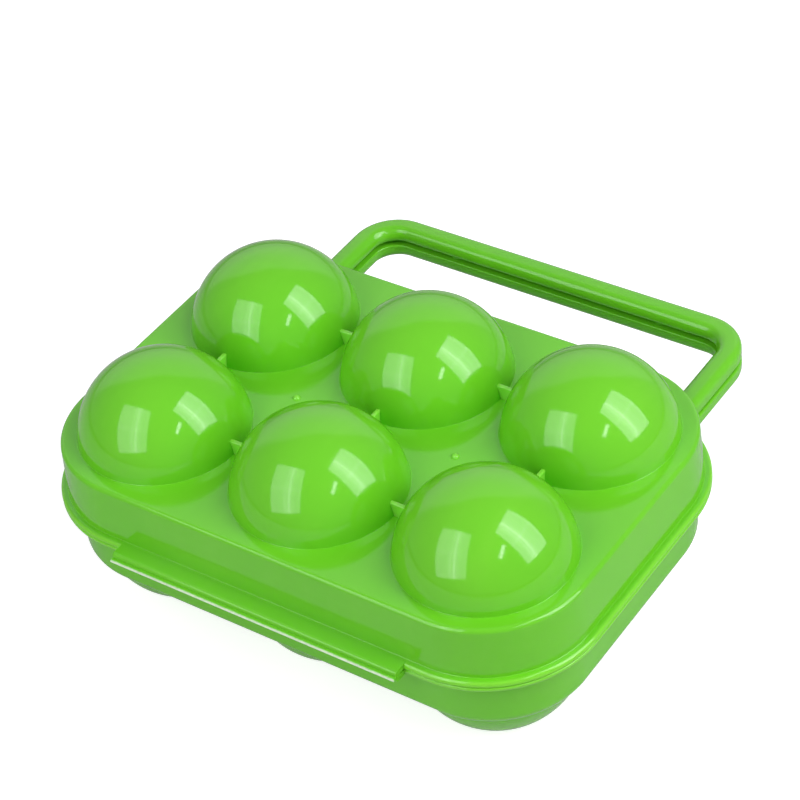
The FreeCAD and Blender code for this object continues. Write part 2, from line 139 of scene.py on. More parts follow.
def pick(piece: Piece, part: Part, test: Callable[[object], bool]) -> None:
    """Select the edges or faces of a piece in edit mode that pass a test.

    Args:
        piece: the object in edit mode.
        part: whether edges or faces are picked.
        test: says of an edge or face whether it is picked.
    """
    bpy.ops.mesh.select_mode(type=part.value)
    bpy.ops.mesh.select_all(action="DESELECT")
    mesh = bmesh.from_edit_mesh(piece.data)
    for item in mesh.edges if part is Part.EDGES else mesh.faces:
        if test(item):
            item.select_set(True)
    bmesh.update_edit_mesh(piece.data)


def at_height(edge: bmesh.types.BMEdge, height: float) -> bool:
    """Whether both ends of an edge lie at a height."""
    return all(abs(vertex.co.z - height) < TOUCH for vertex in edge.verts)


def smooth(piece: Piece, crease: float = 35.0) -> None:
    """Shade a piece smoothly, keeping its creases sharp and its flat faces flat.

    Args:
        piece: the object to shade.
        crease: the least angle of a sharp edge, in degrees.
    """
    take_up(piece)
    bpy.ops.object.shade_smooth_by_angle(angle=math.radians(crease))
    weighting = piece.modifiers.new("flat_faces", "WEIGHTED_NORMAL")
    weighting.keep_sharp = True
    weighting.weight = 100
    bpy.ops.object.modifier_apply(modifier=weighting.name)


def join(pieces: Sequence[Piece], name: str) -> Piece:
    """Make one piece of several.

    Args:
        pieces: the objects to join.
        name: name of the joined piece.

    Returns:
        The joined piece.
    """
    take_up(pieces[0])
    for piece in pieces:
        piece.select_set(True)
    bpy.ops.object.join()
    pieces[0].name = pieces[0].data.name = name
    return pieces[0]


def copy_of(piece: Piece, name: str, shift: Vector, turn: float = 0.0) -> Piece:
    """Copy a piece, with a mesh of its own.

    Args:
        piece: the modelled object.
        name: name of the copy.
        shift: how far the copy is moved.
        turn: the angle by which it is first turned about the upright axis.

    Returns:
        The copy, with its place in its mesh.
    """
    twin = piece.copy()
    twin.data = piece.data.copy()
    twin.name = twin.data.name = name
    bpy.context.collection.objects.link(twin)
    twin.data.transform(Matrix.Translation(shift) @ Matrix.Rotation(turn, 4, "Z"))
    return twin


class Pen:
    """Draws an upright profile in edit mode with extrusions and spins, then sweeps it into a skin."""

    def __init__(self, name: str, origin: Vector, out: Vector, start: Corner) -> None:
        """Put the pen down.

        Args:
            name: name of the new piece.
            origin: the place that the profile's distances are measured from.
            out: the level direction in which the profile reaches out.
            start: the first point of the profile.
        """
        self.origin = origin
        self.out = out
        self.tip = start.point
        deselect()
        bpy.ops.mesh.primitive_plane_add(size=MM, location=self.place(self.tip))
        self.piece = bpy.context.object
        self.piece.name = self.piece.data.name = name
        bpy.ops.object.transform_apply(location=True, rotation=True, scale=True)
        bpy.ops.object.mode_set(mode="EDIT")
        bpy.ops.mesh.select_mode(type="VERT")
        bpy.ops.mesh.merge(type="CENTER")

    def place(self, point: Vector) -> Vector:
        """Where a point of the profile lies in the solids' frame."""
        return self.origin + self.out * point.x + UP * point.y

    def line_to(self, point: Vector) -> None:
        """Draw a straight line to a point of the profile."""
        self.run(self.place(point) - self.place(self.tip))
        self.tip = point

    def arc(self, centre: Vector, turn: float, steps: int) -> None:
        """Draw an arc about a point of the profile in short lines, turning from out towards up."""
        bpy.ops.mesh.spin(steps=steps, angle=turn, center=self.place(centre), axis=UP.cross(self.out))
        self.tip = centre + Matrix.Rotation(turn, 2) @ (self.tip - centre)

    def trace(self, corners: Sequence[Corner], steps: int = 7) -> None:
        """Draw on through corners, rounding each but the last by its own radius.

        Args:
            corners: the corners in order.
            steps: number of short lines in each rounding.
        """
        for corner, onward in zip(corners, [*corners[1:], corners[-1]]):
            if corner.round == 0 or onward is corner:
                self.line_to(corner.point)
                continue
            ahead = (corner.point - self.tip).normalized()
            leaving = (onward.point - corner.point).normalized()
            turn = math.atan2(ahead.cross(leaving), ahead.dot(leaving))
            self.line_to(corner.point - ahead * corner.round * math.tan(abs(turn) / 2))
            inward = Vector((-ahead.y, ahead.x)) * math.copysign(corner.round, turn)
            self.arc(self.tip + inward, turn, steps)

    def run(self, step: Vector) -> None:
        """Extrude what is selected straight on."""
        bpy.ops.mesh.extrude_region_move(TRANSFORM_OT_translate={"value": step})

    def swing(self, centre: Vector, turn: float, steps: int) -> None:
        """Sweep what is selected round an upright axis in short runs, counter-clockwise from above."""
        bpy.ops.mesh.spin(steps=steps, angle=-turn, center=centre, axis=UP)

    def take_profile(self, closed: bool = False) -> None:
        """Select the whole profile for its first sweep.

        Args:
            closed: whether the profile's ends are joined first.
        """
        bpy.ops.mesh.select_all(action="SELECT")
        if closed:
            bpy.ops.mesh.remove_doubles(threshold=MERGE)

    def revolve(self, steps: int) -> Piece:
        """Turn the profile once round the upright axis through its origin.

        Args:
            steps: number of short runs that make the turn.

        Returns:
            The piece, with its place in its mesh.
        """
        self.take_profile()
        self.swing(self.origin, math.tau, steps)
        return self.lift()

    def lift(self) -> Piece:
        """Close the seams, turn the faces outwards and leave edit mode.

        Returns:
            The piece, with its place in its mesh.
        """
        bpy.ops.mesh.select_mode(type="VERT")
        bpy.ops.mesh.select_all(action="SELECT")
        bpy.ops.mesh.remove_doubles(threshold=MERGE)
        bpy.ops.mesh.normals_make_consistent(inside=False)
        bpy.ops.object.mode_set(mode="OBJECT")
        return self.piece


# Finishes


class Nodes:
    """Adds and joins the nodes of one material, node group, light or world."""

    def __init__(self, tree: bpy.types.NodeTree) -> None:
        """Start on a node tree."""
        self.tree = tree

    def add(self, kind: str, inputs: Optional[Inputs] = None, **settings: object) -> bpy.types.Node:
        """Add a node.

        Args:
            kind: type of the node, without the word ShaderNode.
            inputs: values or output sockets for its inputs, by name or number.
            settings: the node's own settings.

        Returns:
            The new node.
        """
        node = self.tree.nodes.new(kind if kind.startswith("Node") else f"ShaderNode{kind}")
        for name, value in settings.items():
            setattr(node, name, value)
        self.feed(node, inputs or {})
        return node

    def feed(self, node: bpy.types.Node, inputs: Inputs) -> None:
        """Set a node's inputs to values or join them to outputs.

        Args:
            node: the node to feed.
            inputs: values or output sockets for its inputs, by name or number.
        """
        for socket, value in inputs.items():
            if isinstance(value, Socket):
                self.tree.links.new(value, node.inputs[socket])
            else:
                node.inputs[socket].default_value = value

    def math(self, operation: str, first: Value, second: Value = 0.0, clamp: bool = False) -> Socket:
        """Add a sum on two values and return its result."""
        return self.add("Math", {0: first, 1: second}, operation=operation, use_clamp=clamp).outputs[0]

    def noise(self, vector: Socket, scale: float, detail: float = 2.0) -> Socket:
        """Add a noise of a number of cells to the metre and return its value."""
        return self.add("TexNoise", {"Vector": vector, "Scale": scale, "Detail": detail}).outputs["Fac"]

    def band(self, value: Value, low: float, high: float, start: float = 0.0, end: float = 1.0) -> Socket:
        """Map a band of values smoothly onto another and return the result."""
        inputs = {"Value": value, "From Min": low, "From Max": high, "To Min": start, "To Max": end}
        return self.add("MapRange", inputs, interpolation_type="SMOOTHSTEP").outputs[0]

    def apart(self, first: Value, second: Value) -> Socket:
        """Add the distance between two values and return it."""
        return self.math("ABSOLUTE", self.math("SUBTRACT", first, second))

    def blend(self, factor: Value, first: Value, second: Value, most: float = 1.0) -> Socket:
        """Mix two colours, the second one up to its largest share, and return the result."""
        inputs = {0: self.math("MULTIPLY", factor, most), 6: first, 7: second}
        return self.add("Mix", inputs, data_type="RGBA").outputs[2]

    def stretched(self, vector: Socket, scale: Triple, turn: Triple) -> Socket:
        """Scale and turn a vector and return the result."""
        return self.add("Mapping", {"Vector": vector, "Scale": scale, "Rotation": turn}).outputs[0]

    def here(self) -> Socket:
        """Add the place on the piece and return it."""
        return self.add("TexCoord").outputs["Object"]

    def along(self, vector: Socket, axis: Axis) -> Socket:
        """Take the part of a vector along an axis and return it."""
        return self.add("SeparateXYZ", {0: vector}).outputs[axis.value]

    def mirrored(self, path: bpy.types.Node) -> Socket:
        """Tell from a light path whether a ray was mirrored or came through something clear."""
        return self.math("MAXIMUM", path.outputs["Is Glossy Ray"], path.outputs["Is Transmission Ray"])


def new_group(name: str, inputs: dict[str, str],
              outputs: dict[str, str]) -> tuple[Nodes, bpy.types.Node, bpy.types.Node]:
    """Start a shader node group.

    Args:
        name: name of the group.
        inputs: socket types of its inputs, by name.
        outputs: socket types of its outputs, by name.

    Returns:
        Its nodes, its input node and its output node.
    """
    tree = bpy.data.node_groups.new(name, "ShaderNodeTree")
    for direction, sockets in (("INPUT", inputs), ("OUTPUT", outputs)):
        for socket, kind in sockets.items():
            tree.interface.new_socket(socket, in_out=direction, socket_type=kind)
    nodes = Nodes(tree)
    return nodes, nodes.add("NodeGroupInput"), nodes.add("NodeGroupOutput")


def moulded_tint_group() -> bpy.types.NodeTree:
    """Build the colour of moulded plastic: broad cloudy shifts, faint flow lines and specks of pigment.

    Returns:
        The node group.
    """
    nodes, given, made = new_group(
        "moulded_tint",
        {"Body": "NodeSocketColor", "Deep": "NodeSocketColor", "Pale": "NodeSocketColor"},
        {"Colour": "NodeSocketColor"},
    )
    place = nodes.here()
    clouds = nodes.band(nodes.noise(place, scale=22.0, detail=3.0), low=0.3, high=0.7)
    shifted = nodes.blend(clouds, given.outputs["Body"], given.outputs["Deep"], most=0.45)
    along_flow = nodes.stretched(place, scale=(1.0, 0.16, 0.5), turn=(0.0, 0.0, 0.35))
    flow = nodes.band(nodes.noise(along_flow, scale=140.0, detail=4.0), low=0.52, high=0.72)
    streaked = nodes.blend(flow, shifted, given.outputs["Pale"], most=0.16)
    specks = nodes.band(nodes.noise(place, scale=1500.0, detail=1.0), low=0.66, high=0.78)
    speckled = nodes.blend(specks, streaked, given.outputs["Deep"], most=0.12)
    nodes.feed(made, {"Colour": speckled})
    return nodes.tree


def moulded_surface_group() -> bpy.types.NodeTree:
    """Build the surface of moulded plastic: sink ripples, a fine orange peel, and worn patches.

    Returns:
        The node group.
    """
    nodes, given, made = new_group(
        "moulded_surface",
        {"Polished": "NodeSocketFloat", "Rubbed": "NodeSocketFloat"},
        {"Roughness": "NodeSocketFloat", "Height": "NodeSocketFloat"},
    )
    place = nodes.here()
    patches = nodes.band(nodes.noise(place, scale=55.0, detail=4.0), low=0.45, high=0.75)
    along_scratch = nodes.stretched(place, scale=(1.0, 0.05, 0.3), turn=(0.3, 0.2, 0.9))
    scratches = nodes.band(nodes.noise(along_scratch, scale=2600.0, detail=1.0), low=0.68, high=0.74)
    halved = [nodes.math("MULTIPLY", wear, 0.5) for wear in (patches, scratches)]
    worn = nodes.math("ADD", *halved, clamp=True)
    span = nodes.math("SUBTRACT", given.outputs["Rubbed"], given.outputs["Polished"])
    roughness = nodes.math("ADD", given.outputs["Polished"], nodes.math("MULTIPLY", worn, span))
    ripple = nodes.noise(place, scale=42.0, detail=1.0)
    peel_share = 0.035
    peel = nodes.math("MULTIPLY", nodes.noise(place, scale=700.0, detail=1.0), peel_share)
    nodes.feed(made, {"Roughness": roughness, "Height": nodes.math("ADD", ripple, peel)})
    return nodes.tree


@dataclass(frozen=True)
class PlasticFinish:
    """A glossy moulded plastic and the record's slot that it belongs to."""

    name: str
    slot: str
    body: Colour
    deep: Colour
    pale: Colour
    polished: float
    rubbed: float
    ripple: float
    glow: float
    glow_depth: float = 1.2 * MM
    glow_spread: Triple = (0.6, 1.0, 0.25)
    refraction: float = 1.5

    def tint(self, nodes: Nodes) -> Socket:
        """Wire the colour of the plastic.

        Args:
            nodes: the material's nodes.

        Returns:
            The colour.
        """
        group = bpy.data.node_groups.get("moulded_tint") or moulded_tint_group()
        colours = {"Body": self.body, "Deep": self.deep, "Pale": self.pale}
        return nodes.add("Group", colours, node_tree=group).outputs["Colour"]

    def mix(self) -> bpy.types.Material:
        """Build the material.

        Returns:
            The material.
        """
        material = bpy.data.materials.new(self.name)
        material.use_nodes = True
        nodes = Nodes(material.node_tree)
        group = bpy.data.node_groups.get("moulded_surface") or moulded_surface_group()
        surface = nodes.add("Group", {"Polished": self.polished, "Rubbed": self.rubbed}, node_tree=group)
        height = {"Height": surface.outputs["Height"], "Distance": self.ripple, "Strength": 1.0}
        nodes.feed(material.node_tree.nodes["Principled BSDF"], {
            "Base Color": self.tint(nodes),
            "Roughness": surface.outputs["Roughness"],
            "Normal": nodes.add("Bump", height).outputs["Normal"],
            "IOR": self.refraction,
            "Subsurface Weight": self.glow,
            "Subsurface Radius": self.glow_spread,
            "Subsurface Scale": self.glow_depth,
        })
        return material

    def coat(self, piece: Piece) -> None:
        """Put the finish on a piece.

        Args:
            piece: the piece, which loses any other material.
        """
        piece.data.materials.clear()
        piece.data.materials.append(bpy.data.materials.get(self.name) or self.mix())


@dataclass(frozen=True, kw_only=True)
class BandedFinish(PlasticFinish):
    """The same plastic, turning to another tone in a band across one of the frame's axes."""

    axis: Axis
    middle: float
    full: float
    fade: float
    tone: Colour
    ragged: float = 0.0

    def tint(self, nodes: Nodes) -> Socket:
        """Wire the plastic's colour, turning to the other tone towards the middle of the band.

        Args:
            nodes: the material's nodes.

        Returns:
            The colour.
        """
        place = nodes.here()
        across = nodes.along(place, self.axis)
        ragged = nodes.math("MULTIPLY", nodes.noise(place, scale=900.0, detail=3.0), self.ragged)
        away = nodes.apart(nodes.math("ADD", across, ragged), self.middle)
        inside = nodes.band(away, self.full, self.fade, start=1.0, end=0.0)
        return nodes.blend(inside, super().tint(nodes), self.tone)


# Sub-assemblies


@dataclass
class EggGrid:
    """Where the eggs stand, and the walls that all the forms share."""

    middle: Vector
    pitch: float = 52.0 * MM
    ball: float = 24.5 * MM
    wall: float = 1.5 * MM
    lid_rise: float = 17.6 * MM
    base_drop: float = 19.0 * MM
    dome_sink: float = 2.8 * MM
    cup_sink: float = 4.6 * MM
    flange_edge: float = 31.8 * MM
    flange: float = 1.8 * MM

    @property
    def hollow(self) -> float:
        """Radius of the hollow in a ball."""
        return self.ball - self.wall

    @property
    def half_length(self) -> float:
        """Half the distance between the outermost columns."""
        return self.pitch

    @property
    def half_width(self) -> float:
        """Half the distance between the rows."""
        return self.pitch / 2

    def plate(self, half: Half) -> float:
        """Height of a plate's outer face, measured from the parting plane."""
        return self.lid_rise if half is Half.LID else -self.base_drop

    def sink(self, half: Half) -> float:
        """How far behind a plate's outer face the balls have their centres."""
        return self.dome_sink if half is Half.LID else self.cup_sink

    def mouth(self, half: Half) -> float:
        """Radius of the hollows' mouths in a plate."""
        return math.sqrt(self.hollow**2 - self.sink(half) ** 2)

    def at(self, across: float, along: float) -> Vector:
        """A place on the parting plane, so far right of the grid's middle and so far behind it."""
        return self.middle + Vector((across, along, 0))

    def places(self) -> dict[str, Vector]:
        """Find the egg places on the parting plane.

        Returns:
            The places, by the name of their row and column.
        """
        found = {}
        for row, along in (("front", -0.5), ("rear", 0.5)):
            for column, across in (("left", -1), ("middle", 0), ("right", 1)):
                found[f"{row}_{column}"] = self.at(across * self.pitch, along * self.pitch)
        return found


@dataclass
class Moulding(ABC):
    """A sub-assembly of the carrier, laid out on the egg grid and dressed in one finish."""

    grid: EggGrid
    finish: PlasticFinish

    @abstractmethod
    def build(self) -> list[Piece]:
        """Model and dress the pieces and return them."""

    def dress(self, piece: Piece, half: Half, *nodes: str) -> Piece:
        """Let a piece ride on its half, stand for its solids and wear the finish.

        Args:
            piece: the modelled piece.
            half: the half of the moulding that it moves with.
            nodes: the solids that it stands for.

        Returns:
            The same piece.
        """
        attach(piece, half.body)
        if nodes:
            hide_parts(*nodes)
        self.finish.coat(piece)
        return piece


@dataclass
class Tray(Moulding):
    """Flange, drafted wall and pierced plate of one half.

    The wall's foot and top and the plate's rim are measured out from the corner eggs' centres.
    """

    half: Half
    foot: float
    top: float
    edge_round: float
    inner_round: float
    plate_rim: float
    root_round: float = 0.25 * MM
    flange_round: float = 1.15 * MM
    parting_round: float = 0.4 * MM
    parting_gap: float = 0.1 * MM
    corner_steps: int = 40
    mouth_steps: int = 96

    @property
    def plate(self) -> float:
        """Height of the plate's outer face, measured from the parting plane."""
        return self.grid.plate(self.half)

    def profile(self) -> list[Corner]:
        """Lay out the cut through flange, wall and plate.

        Returns:
            Its corners, from the plate's outer face to its inner one.
        """
        grid, side = self.grid, self.half.value
        flange_wall = self.foot + (self.top - self.foot) * grid.flange / abs(self.plate)
        return [
            Corner(self.plate_rim, self.plate),
            Corner(self.top, self.plate, self.edge_round),
            Corner(flange_wall, side * grid.flange, self.root_round),
            Corner(grid.flange_edge, side * grid.flange, self.flange_round),
            Corner(grid.flange_edge, side * self.parting_gap, self.parting_round),
            Corner(self.foot - grid.wall, side * self.parting_gap, self.parting_round),
            Corner(self.top - grid.wall, self.plate - side * grid.wall, self.inner_round),
            Corner(self.plate_rim, self.plate - side * grid.wall),
        ]

    def sweep(self) -> Pen:
        """Draw the profile at the right-hand side and carry it round the tray.

        Returns:
            The pen, still in edit mode.
        """
        grid = self.grid
        length, width = Vector((2 * grid.half_length, 0, 0)), Vector((0, 2 * grid.half_width, 0))
        place = grid.middle + (length - width) / 2
        corners = self.profile()
        pen = Pen(f"{self.half.body}_tray_moulded", place, RIGHT, corners[0])
        pen.trace(corners[1:])
        pen.take_profile()
        for step in (width, -length, -width, length):
            pen.run(step)
            place = place + step
            pen.swing(place, QUARTER, self.corner_steps)
        pen.take_profile(closed=True)
        return pen

    def pierce(self, pen: Pen) -> None:
        """Fill the plate inside the swept rim, leaving a round mouth for each egg.

        Args:
            pen: the pen that has swept the rim.
        """
        outer = self.grid.middle.z + self.plate
        inner = outer - self.half.value * self.grid.wall
        mouth = self.grid.mouth(self.half)
        for place in self.grid.places().values():
            spot = Vector((place.x, place.y, outer))
            bpy.ops.mesh.primitive_circle_add(vertices=self.mouth_steps, radius=mouth, location=spot)
        pick(pen.piece, Part.EDGES, lambda edge: len(edge.link_faces) < 2 and at_height(edge, outer))
        bpy.ops.mesh.fill(use_beauty=True)
        pick(pen.piece, Part.EDGES, lambda edge: edge.is_boundary and at_height(edge, outer))
        pen.run(UP * (inner - outer))
        pick(pen.piece, Part.EDGES, lambda edge: edge.is_boundary and at_height(edge, inner))
        bpy.ops.mesh.fill(use_beauty=True)

    def build(self) -> list[Piece]:
        """Model and dress the tray.

        Returns:
            The finished piece.
        """
        pen = self.sweep()
        self.pierce(pen)
        tray = pen.lift()
        smooth(tray)
        return [self.dress(tray, self.half, f"{self.half.body}_tray")]


@dataclass
class GateNubs(Moulding):
    """The two gate nubs: small round stubs left on the lid's plate, each between four eggs."""

    radius: float = 1.25 * MM
    depth: float = 0.375 * MM
    turns: int = 24
    arc_steps: int = 10

    def nub(self, across: float) -> Piece:
        """Turn one nub.

        Args:
            across: how far right of the grid's middle it stands.

        Returns:
            The nub.
        """
        foot = Vector((0, self.grid.lid_rise - self.depth))
        pen = Pen("gate_nub", self.grid.at(across, 0), RIGHT, Corner(0, foot.y + self.radius))
        pen.arc(foot, -QUARTER, self.arc_steps)
        pen.line_to(foot)
        return pen.revolve(self.turns)

    def build(self) -> list[Piece]:
        """Model and dress both nubs as one piece.

        Returns:
            The finished piece.
        """
        nubs = join([self.nub(side * self.grid.pitch / 2) for side in (-1, 1)], "gate_nubs_moulded")
        smooth(nubs)
        return [self.dress(nubs, Half.LID)]


@dataclass
class EggCaps(Moulding):
    """The six round caps of one half: domes over the lid's plate or cups under the base's floor."""

    half: Half
    crease: float = 35.0
    flare: float = 0.15 * MM
    flare_steps: int = 8
    pad: float = 6.0 * MM
    seat: float = 0.06 * MM
    rim_height: float = 1.2 * MM
    turns: int = 96
    outer_steps: int = 44
    inner_steps: int = 32

    @property
    def kind(self) -> str:
        """What a cap of this half is called."""
        return "dome" if self.half is Half.LID else "cup"

    def draw_dome(self) -> Pen:
        """Draw half a dome: the ball outside, its flare onto the plate, the seat and the hollow.

        Returns:
            The pen, still in edit mode.
        """
        grid = self.grid
        plate, centre = grid.lid_rise, Vector((0, grid.lid_rise - grid.dome_sink))
        pen = Pen("dome_model", grid.middle, RIGHT, Corner(0, centre.y + grid.ball))
        rise = grid.dome_sink + self.flare
        reach = math.sqrt((grid.ball + self.flare) ** 2 - rise**2)
        lean = math.atan2(rise, reach)
        pen.arc(centre, lean - QUARTER, self.outer_steps)
        pen.arc(Vector((reach, plate + self.flare)), QUARTER - lean, self.flare_steps)
        mouth, seat = grid.mouth(self.half), plate - self.seat
        pen.trace([Corner(reach, seat), Corner(mouth + self.seat, seat), Corner(mouth, plate)])
        pen.arc(centre, QUARTER - math.asin(grid.dome_sink / grid.hollow), self.inner_steps)
        return pen

    def draw_cup(self) -> Pen:
        """Draw half a cup: the pad, the ball outside, the rim inside the floor and the hollow.

        Returns:
            The pen, still in edit mode.
        """
        grid = self.grid
        floor, centre = -grid.base_drop, Vector((0, grid.cup_sink - grid.base_drop))
        depth = math.sqrt(grid.ball**2 - self.pad**2)
        pen = Pen("cup_model", grid.middle, RIGHT, Corner(0, centre.y - depth))
        pen.line_to(Vector((self.pad, centre.y - depth)))
        rim = floor + self.rim_height
        low, high = math.atan2(depth, self.pad), math.asin((rim - centre.y) / grid.ball)
        pen.arc(centre, low + high, self.outer_steps)
        mouth = grid.mouth(self.half)
        pen.trace([Corner(mouth + self.seat, rim), Corner(mouth, floor)])
        inner_depth = depth - grid.wall
        low, high = math.asin(inner_depth / grid.hollow), math.asin(grid.cup_sink / grid.hollow)
        pen.arc(centre, high - low, self.inner_steps)
        pen.line_to(Vector((0, centre.y - inner_depth)))
        return pen

    def model(self) -> Piece:
        """Turn one cap over the middle of the grid.

        Returns:
            The cap.
        """
        pen = self.draw_dome() if self.half is Half.LID else self.draw_cup()
        cap = pen.revolve(self.turns)
        smooth(cap, self.crease)
        return cap

    def build(self) -> list[Piece]:
        """Model one cap, copy it to each egg and dress the copies.

        Returns:
            The finished pieces.
        """
        model = self.model()
        caps = []
        for name, place in self.grid.places().items():
            node = f"{self.kind}_{name}"
            cap = copy_of(model, f"{node}_moulded", place - self.grid.middle)
            caps.append(self.dress(cap, self.half, node))
        bpy.data.objects.remove(model)
        return caps


@dataclass
class DomeWebs(Moulding):
    """The seven small webs that tie neighbouring domes together above the plate."""

    height: float = 4.3 * MM
    thickness: float = 1.4 * MM
    bite: float = 0.35 * MM
    edge_round: float = 0.4 * MM
    edge_steps: int = 3

    def gap(self, above: float) -> float:
        """Half the gap between two domes at a height above the plate."""
        return self.grid.pitch / 2 - math.sqrt(self.grid.ball**2 - (self.grid.dome_sink + above) ** 2)

    def model(self) -> Piece:
        """Model one web that reaches along X, over the frame's origin.

        Returns:
            The web.
        """
        plate = self.grid.lid_rise
        foot, head = self.gap(0) + self.bite, self.gap(self.height) + self.bite
        start = self.grid.at(0, -self.thickness / 2)
        pen = Pen("web_model", start, RIGHT, Corner(-foot, plate - self.bite))
        pen.trace([
            Corner(foot, plate - self.bite),
            Corner(head, plate + self.height),
            Corner(-head, plate + self.height),
            Corner(-foot, plate - self.bite),
        ])
        pen.take_profile(closed=True)
        bpy.ops.mesh.edge_face_add()
        pen.run(Vector((0, self.thickness, 0)))
        bpy.ops.mesh.select_all(action="SELECT")
        bpy.ops.mesh.normals_make_consistent(inside=False)
        high = self.grid.middle.z + plate + self.height
        pick(pen.piece, Part.EDGES, lambda edge: at_height(edge, high))
        bpy.ops.mesh.bevel(offset=self.edge_round, segments=self.edge_steps, affect="EDGES")
        web = pen.lift()
        web.data.transform(Matrix.Translation(-self.grid.middle))
        return web

    def build(self) -> list[Piece]:
        """Model one web, set its copies between the domes and dress them as one piece.

        Returns:
            The finished piece.
        """
        model = self.model()
        step = self.grid.pitch / 2
        spots = [(self.grid.at(x * step, y * step), 0.0) for x in (-1, 1) for y in (-1, 1)]
        spots += [(self.grid.at(x * step, 0), QUARTER) for x in (-2, 0, 2)]
        webs = [copy_of(model, "web", spot, turn) for spot, turn in spots]
        bpy.data.objects.remove(model)
        piece = join(webs, "dome_webs_moulded")
        smooth(piece)
        return [self.dress(piece, Half.LID, "dome_webs")]


@dataclass
class HandleHalf(Moulding):
    """One half of the carrying handle: a level loop with its legs let into the tray's wall."""

    half: Half
    wall_margin: float
    inner_seam_round: float
    reach: float = 38.5 * MM
    half_span: float = 65.0 * MM
    width: float = 7.0 * MM
    half_height: float = 5.35 * MM
    corner: float = 14.0 * MM
    corner_steps: int = 20
    outer_round: float = 2.4 * MM
    inner_round: float = 3.0 * MM
    outer_seam_round: float = 0.6 * MM
    seam: float = 0.6 * MM
    stud_spacing: float = 70.0 * MM
    stud_radius: float = 1.9 * MM
    stud_height: float = 2.6 * MM
    stud_round: float = 0.6 * MM
    stud_root: float = 0.4 * MM
    stud_clearance: float = 0.2 * MM
    stud_turns: int = 32

    @property
    def back(self) -> float:
        """How far behind the grid's middle the handle ends."""
        return self.grid.half_width + self.grid.flange_edge + self.reach

    def loop(self) -> Piece:
        """Draw the bar's rounded section at the right leg's root and carry it round the loop.

        Returns:
            The loop, with its legs cut off in the tray's wall.
        """
        seam, far = self.half.value * self.seam, self.half.value * self.half_height
        outer, inner = self.half_span, self.half_span - self.width
        middle = (outer + inner) / 2
        root = self.grid.at(0, self.grid.half_width)
        pen = Pen(f"{self.half.body}_handle_moulded", root, RIGHT, Corner(middle, seam))
        pen.trace([
            Corner(outer, seam, self.outer_seam_round),
            Corner(outer, far, self.outer_round),
            Corner(inner, far, self.inner_round),
            Corner(inner, seam, self.inner_seam_round),
            Corner(middle, seam),
        ])
        pen.take_profile(closed=True)
        leg = Vector((0, self.back - self.corner - self.grid.half_width, 0))
        across, along = self.half_span - self.corner, self.back - self.corner
        pen.run(leg)
        pen.swing(self.grid.at(across, along), QUARTER, self.corner_steps)
        pen.run(RIGHT * -2 * across)
        pen.swing(self.grid.at(-across, along), QUARTER, self.corner_steps)
        pen.run(-leg)
        for hand in (1, -1):
            self.trim_leg(pen.piece, hand)
        return pen.lift()

    def trim_leg(self, piece: Piece, hand: int) -> None:
        """Cut a leg off inside the tray's curved wall and close its end.

        Args:
            piece: the loop in edit mode.
            hand: 1 for the right leg and -1 for the left.
        """
        depth = self.wall_margin - self.grid.wall / 2
        ends = []
        for across in (self.half_span - self.width, self.half_span):
            along = math.sqrt(depth**2 - (across - self.grid.half_length) ** 2) + self.grid.half_width
            ends.append(self.grid.at(hand * across, along))
        normal = UP.cross(ends[1] - ends[0]) * hand
        far = self.grid.middle.x + hand * self.corner
        pick(piece, Part.FACES, lambda face: hand * (face.calc_center_median().x - far) > 0)
        bpy.ops.mesh.bisect(plane_co=ends[0], plane_no=normal, use_fill=True, clear_inner=True)

    def turned(self, across: float, corners: Sequence[Corner]) -> Piece:
        """Turn a round stub about an upright axis through the grip bar.

        Args:
            across: how far right of the grid's middle it stands.
            corners: its half section, from the axis at the top to the axis at the foot.

        Returns:
            The stub.
        """
        pen = Pen("stud", self.grid.at(across, self.back - self.width / 2), RIGHT, corners[0])
        pen.trace(corners[1:])
        return pen.revolve(self.stud_turns)

    def stud(self, across: float) -> Piece:
        """Model a snap stud.

        Args:
            across: how far right of the grid's middle it stands.

        Returns:
            The stud, let into the lower half's mating face.
        """
        high, low = self.seam + self.stud_height, -self.seam - self.stud_root
        radius = self.stud_radius
        rim = Corner(radius, high, self.stud_round)
        return self.turned(across, [Corner(0, high), rim, Corner(radius, low), Corner(0, low)])

    def sink_socket(self, piece: Piece, across: float) -> None:
        """Cut the blind hole for a stud into the upper half's mating face.

        Args:
            piece: the upper half.
            across: how far right of the grid's middle the hole lies.
        """
        high = self.seam + self.stud_height + self.stud_clearance
        radius = self.stud_radius + self.stud_clearance
        cutter = self.turned(across, [Corner(0, high), Corner(radius, high), Corner(radius, 0), Corner(0, 0)])
        hole = piece.modifiers.new("socket", "BOOLEAN")
        hole.operation = "DIFFERENCE"
        hole.object = cutter
        take_up(piece)
        bpy.ops.object.modifier_apply(modifier=hole.name)
        bpy.data.objects.remove(cutter)

    def build(self) -> list[Piece]:
        """Model and dress the half, with studs on the lower one and their sockets in the upper one.

        Returns:
            The finished piece.
        """
        piece = self.loop()
        places = (-self.stud_spacing / 2, self.stud_spacing / 2)
        if self.half is Half.BASE:
            piece = join([piece, *(self.stud(across) for across in places)], piece.name)
        else:
            for across in places:
                self.sink_socket(piece, across)
        smooth(piece)
        return [self.dress(piece, self.half, f"{self.half.body}_handle")]


